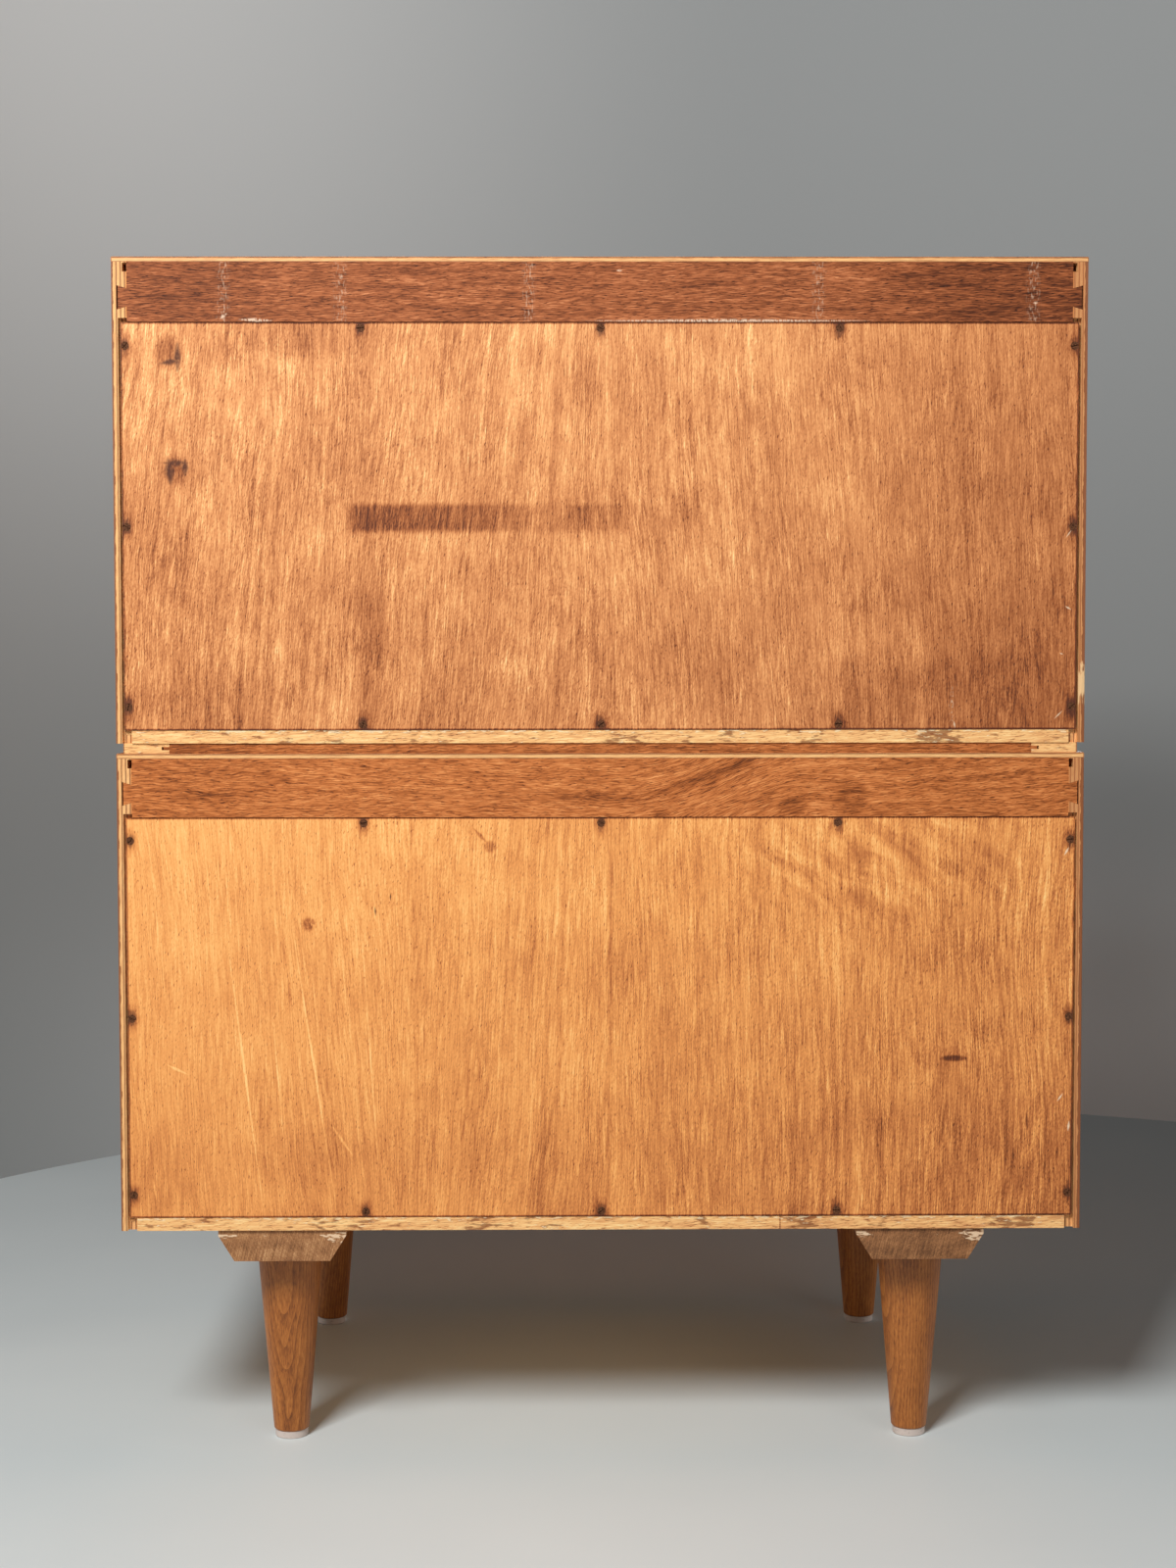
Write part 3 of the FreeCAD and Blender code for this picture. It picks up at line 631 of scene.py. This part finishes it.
# %% Rails
red_wood = [
    (0.0, colour(60, 26, 10)), (0.25, colour(106, 52, 24)), (0.45, colour(138, 74, 38)),
    (0.6, colour(160, 88, 48)), (0.8, colour(186, 110, 66)), (1.0, colour(216, 140, 92)),
]
amber_wood = [
    (0.0, colour(88, 42, 14)), (0.25, colour(142, 74, 30)), (0.45, colour(176, 98, 46)),
    (0.6, colour(197, 114, 58)), (0.8, colour(216, 134, 74)), (1.0, colour(240, 162, 98)),
]
dark_line_z = 528.5
dull_place_x = 320
planed_pale = colour(232, 198, 168)


def swept(paint):
    """How far a grain line of the lower rail has risen: from +x to -x it falls gently, then sweeps up."""
    near = paint.larger(paint.x + 30, 0.0)
    far = paint.larger(-130 - paint.x, 0.0)
    return paint.smooth(paint.x, -15, -165) * 36 + near * 0.03 + far * 0.05


def rail_paint(name, shades, seed, scuffs=(), chips=(), blots=(), figure=0.0, end_tone=0.0, shift=0.0):
    """Rail wood with its grain along X.

    scuffs are the places of pale planer marks, chips are pale strokes and blots are dark ellipses. figure is
    how much the grain sweeps up, with one dark line in it. end_tone is how much darker the far end is, and
    shift is added to the tone.
    """
    paint = Paint(name, {"Specular IOR Level": 0.2})
    lift = paint.z - swept(paint) * figure
    lift = lift + paint.noise(paint.x / 90, 0, paint.z / 30, seed=seed) * figure * 2.4
    lift = lift + paint.noise(paint.x / 20, 0, paint.z / 8, seed=seed + 3) * 0.8
    tone, pore = timber(paint, paint.x, lift * 1.3, paint.y * 1.3, pith=(990, 180), ring=11.0, rings=0.1,
                        grain=0.34, pores=0.46, seed=seed)
    tone = tone + paint.noise(paint.x / 70, 0, lift / 4, detail=2, seed=seed + 41) * 0.12
    tone = tone + shift - paint.smooth(paint.x, -180, -300) * end_tone
    tone = tone - paint.smooth(abs(paint.x - dull_place_x), 90, 0) * 0.12
    window = paint.smooth(paint.x, 80, 0) * paint.smooth(paint.x, -150, -105)
    tone = tone - paint.smooth(abs(lift - dark_line_z), 5.0, 0.5) * window * figure * 0.3
    tone = tone - patches(paint, blots) * 0.24
    flecks = paint.noise(paint.x / 1.5, 0, paint.z / 4.0, detail=4, seed=seed + 31)
    pale = 0.0
    for place in scuffs:
        pale = paint.smooth(abs(paint.x - place), 7, 1) * paint.smooth(flecks, -0.1, 0.9) * 0.5 + pale
    pale = paint.larger(strokes(paint, chips) * paint.smooth(flecks, -0.5, 0.3), pale)
    shade = paint.mix(pale, paint.ramp(tone, shades), planed_pale)
    shade = paint.mix(in_front_of(paint, front_edges_y), shade, paint.ramp(tone, teak))
    return paint.finish(shade, 0.58, pore * -0.06 + tone * 0.05)


low_z = panel_high["upper"] + 1.2
white_marks = [
    ((-12, 939), (-18, 939), 1.3), ((284, low_z + 1), (254, low_z), 2.2), ((-336, 914), (-342, 914), 1.0),
    ((20, low_z), (-220, low_z), 2.0), ((297, low_z + 1), (291, low_z + 6), 2.0),
]
dark_marks = [(-48, 515, 9, 6, 1.0), (-152, 520, 16, 9, 1.0), (-196, 529, 19, 17, 1.0)]
upper_rail = rail_paint("upper_rail_wood", red_wood, seed=3.0, scuffs=(294, 203, 56, -170, -338),
                        chips=white_marks, end_tone=0.22)
lower_rail = rail_paint("lower_rail_wood", amber_wood, seed=33.0, blots=dark_marks, figure=1.0, end_tone=0.07)
spacer_rail = rail_paint("spacer_rail_wood", amber_wood, seed=63.0, shift=-0.12)

# %% [markdown]
# ## Bottom boards
#
# The bottom boards are a pale wood whose rear edge was never finished: it is scuffed, dirty and chipped. Dirt
# and chips are two noises, and a mask keeps them to that edge, so the rest of the board stays clean. The
# frame's sides and the runners are the same wood.

# %% Bottom boards, spacer sides and runners
pale_wood = [
    (0.0, colour(120, 70, 38)), (0.25, colour(178, 118, 70)), (0.45, colour(216, 152, 96)),
    (0.6, colour(238, 178, 114)), (0.8, colour(249, 198, 132)), (1.0, colour(254, 222, 160)),
]


def board_paint(name, seed, rear=None, joint=None):
    """Pale wood with its grain along X.

    Where rear is given, the edge at that depth is dirty and chipped, most of all along its lip under the
    panel. Past the joint, a second and browner length of wood begins.
    """
    paint = Paint(name, {"Specular IOR Level": 0.25})
    tone, pore = timber(paint, paint.x, paint.y, paint.z, pith=(-500, -60), ring=5.0, rings=0.12, grain=0.24,
                        pores=0.34, seed=seed)
    if joint is not None:
        tone = tone - paint.smooth(paint.x, joint, joint - 0.4) * 0.1
        tone = tone - paint.smooth(abs(paint.x - joint), 0.9, 0.3) * 0.4
    shade = paint.ramp(tone + 0.1, pale_wood)
    relief = pore * -0.05
    if rear is not None:
        edge = paint.smooth(paint.y, rear - 2, rear - 1)
        grime = paint.noise(paint.x / 11, paint.y / 9, paint.z / 3.0, detail=5, seed=seed + 50)
        where = paint.noise(paint.x / 60, 0, 0, detail=2, seed=seed + 57)
        grime = paint.smooth(grime + where * 1.3, 0.3, 0.85) * edge
        chips = paint.noise(paint.x / 6, paint.y / 3, paint.z / 1.5, detail=4, seed=seed + 61)
        off_lip = paint.smaller(abs(paint.z - panel_low["upper"]), abs(paint.z - panel_low["lower"]))
        lip = paint.smooth(off_lip, 3.5, 1.0)
        chips = paint.smooth(chips + where * 0.3 + lip * 0.5, 0.6, 0.85) * edge
        shade = paint.mix(grime * 0.75, shade, colour(128, 68, 34))
        shade = paint.mix(chips * 0.6, shade, colour(255, 230, 186))
        frame_sides = paint.smooth(abs(paint.x), frame_half - 0.1, frame_half)
        edged = paint.larger(in_front_of(paint, front_edges_y), frame_sides)
        shade = paint.mix(edged, shade, paint.ramp(tone, teak))
        relief = relief + grime * -0.1 + chips * 0.15
    return paint.finish(shade, 0.66, relief)


bottom_boards = {
    "upper": board_paint("upper_bottom_board", seed=5.0, rear=corners_mm("upper_bottom")[1][1]),
    "lower": board_paint("lower_bottom_board", seed=55.0, rear=corners_mm("lower_bottom")[1][1], joint=-142),
}
spacer_wood = board_paint("spacer_wood", seed=25.0, rear=corners_mm("spacer_side_left")[1][1])
runner_wood = board_paint("runner_wood", seed=75.0)

# %% [markdown]
# ## Plywood with its layers
#
# The sides are 12 mm plywood: a dark face veneer outside and a stack of pale plies inside, every other one
# with its fibres crossed, so that edges show stripes. The stripes are a sum on the depth from the outer
# face. Because it is worked out in the board, the rebates, grooves and dovetails show them too.

# %% Stacked plies
face_veneer = 1.4
ply_pitch = 3.3


def stacked_plies(paint, depth, along, across, seed):
    """Colour of the core at a depth in millimetres: pale plies with thin brown ones between them."""
    wander = paint.noise(along / 60, 0, across / 60, seed=seed) * 0.2
    layer = paint.maths("FRACT", (depth - face_veneer + wander) / ply_pitch)
    crossed = paint.smooth(layer, 0.62, 0.7) * paint.smooth(layer, 1.0, 0.92)
    fibre = paint.noise(along / 9, depth / 0.5, across / 9, seed=seed + 4)
    specks = paint.noise(along / 1.2, depth / 0.5, across / 1.2, seed=seed + 8)
    pale = paint.ramp(0.6 + fibre * 0.22, pale_wood)
    brown = paint.ramp(0.3 + specks * 0.25, teak)
    return paint.mix(crossed * 0.85, pale, brown)


def at_back(paint):
    """1 at the back edge of the cases, fading to 0 a few millimetres in front of it."""
    return paint.smooth(paint.y, back_y - 3.5, back_y)


# %% [markdown]
# ## Sides and tops
#
# A board of plywood shows a face veneer, a striped edge and another face inside. Groups of faces could have a
# material each, but a groove cuts through all the layers. One material that asks how deep a place lies under
# the outer face is right everywhere. On a side the depth is counted inwards, and on a top downwards.

# %% Sides
inner_face = 11.15
worn_z = 617


def side_paint(name, seed):
    """Plywood sides: teak faces with upright grain, striped edges that are chipped and worn at the back, and
    painted shade in the recess beside the back panel.

    The side at negative x is the dirtier one, and its face veneer has lost more of its edge.
    """
    paint = Paint(name, {"Specular IOR Level": 0.35})
    depth = half_width - abs(paint.x)
    tone, pore = timber(paint, paint.z, paint.y, paint.x, pith=(30, 700), ring=26.0, rings=0.12, pores=0.22,
                        seed=seed)
    veneer = paint.ramp(tone, teak)
    core = stacked_plies(paint, depth, paint.z, paint.y, seed)
    inside = paint.smooth(depth, inner_face, inner_face + 0.1)
    core = paint.mix(inside, core, paint.ramp(tone + 0.1, yellow_ply))
    torn = paint.noise(paint.z / 7, paint.y / 2.5, paint.x / 1.5, detail=3, seed=seed + 11)
    near_back = at_back(paint)
    dirtier = paint.smooth(paint.x, 100, -100)
    torn_edge = face_veneer + dirtier * 1.2 + torn * near_back * 0.7
    front_edge = in_front_of(paint, front_y + edging - 0.1)
    on_face = paint.larger(paint.smooth(depth - torn_edge, 0.1, -0.1), front_edge)
    chipped = paint.smooth(torn + near_back * 0.5, 1.2, 1.35) * near_back
    shade = paint.mix(on_face * (1 - chipped), core, veneer)
    blotch = paint.noise(paint.z / 45, paint.y / 9, paint.x / 3, detail=4, seed=seed + 17)
    stained = paint.smooth(blotch + dirtier * 0.9, 0.1, 1.2) * near_back
    browned = paint.larger(stained * 0.6, dirtier * near_back * 0.6)
    shade = paint.mix(browned, shade, colour(178, 104, 56))
    shade = paint.mix(on_face * near_back * 0.7, shade, colour(126, 70, 36))
    worn = paint.smooth(abs(paint.z - worn_z) + torn * 8, 16, 8) * dirtier * near_back
    shade = paint.mix(worn * 0.8, shade, colour(246, 204, 148))
    # Painted shade in the recess beside the back panel's edge.
    rebate_painted_shade = paint.smooth(paint.y, back_y - 1.0, back_y - 2.0) * paint.smooth(depth, 5.0, 5.4) * near_back
    shade = paint.mix(rebate_painted_shade * 0.6, shade, colour(80, 42, 20))
    return paint.finish(shade, 0.5 + (1 - on_face) * 0.15, pore * -0.04 + torn * near_back * 0.08)


sides = {"upper": side_paint("upper_side_ply", 11.0), "lower": side_paint("lower_side_ply", 44.0)}


# %% Tops
def top_paint(name, top_z, seen_veneer, seed):
    """The 4 mm top: teak above with its grain along X, a pale striped core, edged at the front and sides.

    seen_veneer is how much further down the veneer shows at the back, as a fraction of half a millimetre.
    """
    paint = Paint(name, {"Specular IOR Level": 0.35})
    depth = top_z - paint.z
    tone, pore = timber(paint, paint.x, paint.y, paint.z, pith=(60, 900), ring=22.0, rings=0.14, pores=0.22,
                        seed=seed)
    veneer = paint.ramp(tone, teak)
    core = stacked_plies(paint, depth, paint.x, paint.y, seed)
    side_edges = paint.smooth(abs(paint.x), half_width - edging, half_width - edging + 0.1)
    edge = paint.larger(in_front_of(paint, front_y + edging - 0.1), side_edges)
    torn = paint.noise(paint.x / 12, paint.y / 3, paint.z / 0.8, detail=3, seed=seed + 11)
    near_back = at_back(paint)
    veneer_edge = 0.9 + (torn + seen_veneer) * near_back * 0.5
    on_face = paint.larger(paint.smooth(depth - veneer_edge, 0.1, -0.1), edge)
    shade = paint.mix(on_face, core, veneer)
    blotch = paint.noise(paint.x / 60, 0, paint.z / 3, detail=4, seed=seed + 17)
    stained = paint.smooth(blotch, 0.0, 1.2) * near_back
    shade = paint.mix(stained * 0.55, shade, colour(128, 72, 38))
    return paint.finish(shade, 0.5, pore * -0.03 + torn * near_back * 0.06)


tops = {
    "upper": top_paint("upper_top_ply", corners_mm("upper_top")[1][2], seen_veneer=0.6, seed=21.0),
    "lower": top_paint("lower_top_ply", corners_mm("lower_top")[1][2], seen_veneer=-0.6, seed=71.0),
}


# %% [markdown]
# ## Bearers, legs and knobs
#
# These are solid wood, so `timber` is all they need, with the pith placed to give what each piece shows:
# arcs on a bearer's sawn end, long stripes and a cathedral on a leg turned from a straight billet. The
# pattern fills space as real wood does, so a round face cuts through the straight rings as it would on a
# lathe, and nothing has to be wrapped round the leg.

# %% Bearers
leg_wood = [
    (0.0, colour(72, 34, 8)), (0.3, colour(120, 64, 20)), (0.55, colour(164, 96, 38)),
    (0.8, colour(192, 122, 56)), (1.0, colour(216, 152, 82)),
]
grey_wood = [
    (0.0, colour(72, 44, 24)), (0.3, colour(120, 78, 46)), (0.55, colour(156, 106, 66)),
    (0.8, colour(190, 140, 94)), (1.0, colour(220, 176, 130)),
]


bearer_edge = 5.0
bare_wood = colour(240, 208, 172)


def bearer_paint(name, pith, darker, seed):
    """Bearer wood with its grain along Y, so its ends show rings and saw marks.

    Its ends are chipped at the two top corners and along the arris where the bevel begins.
    """
    paint = Paint(name, {"Specular IOR Level": 0.3})
    tone, pore = timber(paint, paint.y, paint.x, paint.z, pith=pith, ring=3.4, rings=0.1, grain=0.14,
                        pores=0.1, seed=seed)
    saw_marks = paint.noise((paint.x + paint.z * 0.25) / 1.2, 0, paint.z / 22, detail=1, seed=seed + 7)
    stain = paint.noise(paint.x / 18, 0, paint.z / 8, detail=2, seed=seed + 9)
    tone = tone - darker + saw_marks * 0.17 + stain * 0.13
    low, high = corners_mm("bearer_" + name.split("_")[1])
    corners = patches(paint, [(low[0] + 4, high[2] - 6, 19, 9, 1.0), (high[0] - 5, high[2] - 5, 12, 4, 1.0)])
    arris = paint.smooth(abs(high[2] - bearer_edge - paint.z), 1.6, 0.5)
    chip = paint.noise(paint.x / 5, paint.y / 3, paint.z / 1.4, detail=4, seed=seed + 5)
    at_end = paint.smooth(paint.y, high[1] - 3, high[1] - 1)
    chipped = paint.smooth(chip + corners * 1.1 + arris * 0.4, 1.0, 1.3) * at_end
    shade = paint.mix(chipped * 0.8, paint.ramp(tone, grey_wood), bare_wood)
    return paint.finish(shade, 0.6, pore * -0.04 + chipped * 0.15)


bearers = {
    "left": bearer_paint("bearer_left_wood", pith=(-330, 60), darker=0.18, seed=2.0),
    "right": bearer_paint("bearer_right_wood", pith=(380, 100), darker=0.02, seed=12.0),
}


# %% Legs
def centre_mm(node):
    """Middle of a CAD node's box, in millimetres."""
    low, high = corners_mm(node)
    return (low + high) / 2


def turned_wood(name, centre, shades, pith, seed):
    """Wood turned round the upright line through centre, with its grain along Z."""
    paint = Paint(name, {"Specular IOR Level": 0.45})
    dx = paint.x - centre[0]
    dy = paint.y - centre[1]
    tone, pore = timber(paint, paint.z, dx, dy, pith=pith, ring=3.0, rings=0.24, grain=0.14, pores=0.14,
                        seed=seed)
    return paint.finish(paint.ramp(tone - 0.04, shades), 0.46, pore * -0.05)


# The pith of one billet lies close behind its face, and that leg shows a cathedral.
legs = {}
for i, name in enumerate(sorted(n for n in nodes if n.startswith("leg_") and n != "leg_bolts")):
    pith = (12, 70) if name == "leg_back_right" else (90, 20 + 5 * i)
    legs[name] = turned_wood(name + "_wood", centre_mm(name), leg_wood, pith, seed=17.0 * i)

# %% Knobs
knob_paint = Paint("knob_wood", {"Specular IOR Level": 0.45})
tone, pore = timber(knob_paint, knob_paint.x, knob_paint.z, knob_paint.y, pith=(0, -900), rings=0.1, seed=8.0)
knob_wood = knob_paint.finish(knob_paint.ramp(tone - 0.1, leg_wood), 0.42, pore * -0.03)

# %% [markdown]
# ## Drawers
#
# The fronts are veneered, with the figure running across, and the drawer boxes are pale wood with plywood
# bottoms. The veneer is a step at a depth, as the edging is. Each front has its own seed and pith, so that
# no two of them look alike.

# %% Drawer fronts
front_veneer = 1.3


def front_paint(name, middle_z, seed):
    """A veneered drawer front; its edges and back are the pale core."""
    paint = Paint(name, {"Specular IOR Level": 0.35})
    rise = paint.z - middle_z
    tone, pore = timber(paint, paint.x, rise * 0.6, paint.y, pith=(seed * 0.1 - 6, -190), ring=4.5, rings=0.2,
                        grain=0.12, pores=0.2, seed=seed)
    streaks = paint.noise(paint.x / 20, paint.y / 1.5, paint.z / 1.5, seed=seed)
    core = paint.ramp(0.55 + streaks * 0.15, pale_wood)
    in_core = paint.smooth(paint.y, front_y + front_veneer, front_y + front_veneer + 0.2)
    return paint.finish(paint.mix(in_core, paint.ramp(tone, teak), core), 0.46, pore * -0.03)


drawer_fronts = {}
for number in range(1, 5):
    name = f"drawer_{number}_front"
    drawer_fronts[name] = front_paint(name + "_veneer", centre_mm(name)[2], 23.0 * number)

# %% Drawer boxes
drawer_woods = {}
for piece in ("side", "back"):
    paint = Paint(f"drawer_{piece}_wood", {"Specular IOR Level": 0.3})
    along, across = (paint.y, paint.x) if piece == "side" else (paint.x, paint.y)
    tone, pore = timber(paint, along, paint.z, across, pith=(700, 0), ring=9.0, rings=0.1, grain=0.12,
                        pores=0.12, seed=4.0)
    drawer_woods[piece] = paint.finish(paint.ramp(tone + 0.05, pale_wood), 0.6, pore * -0.03)

floor_ply_paint = Paint("drawer_ply", {"Specular IOR Level": 0.3})
tone, pore = timber(floor_ply_paint, floor_ply_paint.y, floor_ply_paint.x, floor_ply_paint.z, pith=(0, 900),
                    ring=18.0, rings=0.08, pores=0.16, seed=6.0)
drawer_ply = floor_ply_paint.finish(floor_ply_paint.ramp(tone + 0.08, yellow_ply), 0.6, pore * -0.03)

# %% [markdown]
# ## Metal and plastic
#
# The screws are old plain steel: dark, with rust in patches. The glides are pale plastic, scuffed grey.
# Rust doesn't shine as bare metal does, so only the bolts are metallic. One noise drives the screws' colour,
# roughness and relief together, because rusty places are dark, rough and raised.

# %% Screws, bolts and glides
screw_paint = Paint("screw_steel", {"Specular IOR Level": 0.15})
rust = screw_paint.noise(screw_paint.x / 1.2, screw_paint.y / 1.2, screw_paint.z / 1.2, detail=4)
rust = screw_paint.smooth(rust, -0.6, 0.7)
screw_shade = screw_paint.mix(rust, colour(112, 70, 44), colour(60, 32, 18))
screw_steel = screw_paint.finish(screw_shade, 0.55 + rust * 0.3, rust * 0.05)

bolt_paint = Paint("bolt_steel", {"Metallic": 1.0})
brushed = bolt_paint.noise(bolt_paint.x / 3, bolt_paint.y / 3, bolt_paint.z / 0.3)
bolt_shade = bolt_paint.mix(0.5 + brushed * 0.3, colour(150, 150, 148), colour(190, 190, 186))
bolt_steel = bolt_paint.finish(bolt_shade, 0.38)

glide_paint = Paint("glide_plastic", {"Specular IOR Level": 0.4})
scuffed = glide_paint.noise(glide_paint.x / 4, glide_paint.y / 4, glide_paint.z / 1.5, detail=4)
greyed = glide_paint.smooth(scuffed, 0.1, 1.6)
glide_shade = glide_paint.mix(greyed, colour(206, 190, 180), colour(150, 132, 122))
glide_plastic = glide_paint.finish(glide_shade, 0.5, scuffed * 0.04)


# %% [markdown]
# ## Hand out the materials
#
# Each CAD node keeps its mesh and gets its material in its own slot. The two cases have the same pieces, so
# a table of pieces and their materials is shorter than a line for each node.

# %% Assign
def dress(node, material):
    """Put a material on every slot of a CAD node."""
    node.data.materials.clear()
    node.data.materials.append(material)


finishes = {
    "back_panel": {"upper": upper_panel, "lower": lower_panel},
    "back_rail": {"upper": upper_rail, "lower": lower_rail},
    "front_rail": {"upper": upper_rail, "lower": lower_rail},
    "side_left": sides, "side_right": sides, "top": tops, "bottom": bottom_boards,
    "back_screws": dict.fromkeys(("upper", "lower"), screw_steel),
    "runners": dict.fromkeys(("upper", "lower"), runner_wood),
    "kickers": dict.fromkeys(("upper", "lower"), runner_wood),
}
for piece, by_case in finishes.items():
    for case, material in by_case.items():
        dress(nodes[f"{case}_{piece}"], material)
for number in range(1, 5):
    dress(nodes[f"drawer_{number}_front"], drawer_fronts[f"drawer_{number}_front"])
    dress(nodes[f"drawer_{number}_knobs"], knob_wood)
    dress(nodes[f"drawer_{number}_bottom"], drawer_ply)
    dress(nodes[f"drawer_{number}_side_left"], drawer_woods["side"])
    dress(nodes[f"drawer_{number}_side_right"], drawer_woods["side"])
    dress(nodes[f"drawer_{number}_back"], drawer_woods["back"])
for hand in ("left", "right"):
    dress(nodes[f"spacer_side_{hand}"], spacer_wood)
    dress(nodes[f"bearer_{hand}"], bearers[hand])
for name, material in legs.items():
    dress(nodes[name], material)
for name in ("spacer_back_rail", "spacer_front_rail"):
    dress(nodes[name], spacer_rail)
for name in ("bearer_screws", "stacking_screws"):
    dress(nodes[name], screw_steel)
dress(nodes["leg_bolts"], bolt_steel)
dress(nodes["glides"], glide_plastic)
print("bare nodes:", [n for n, o in nodes.items() if not o.data.materials])
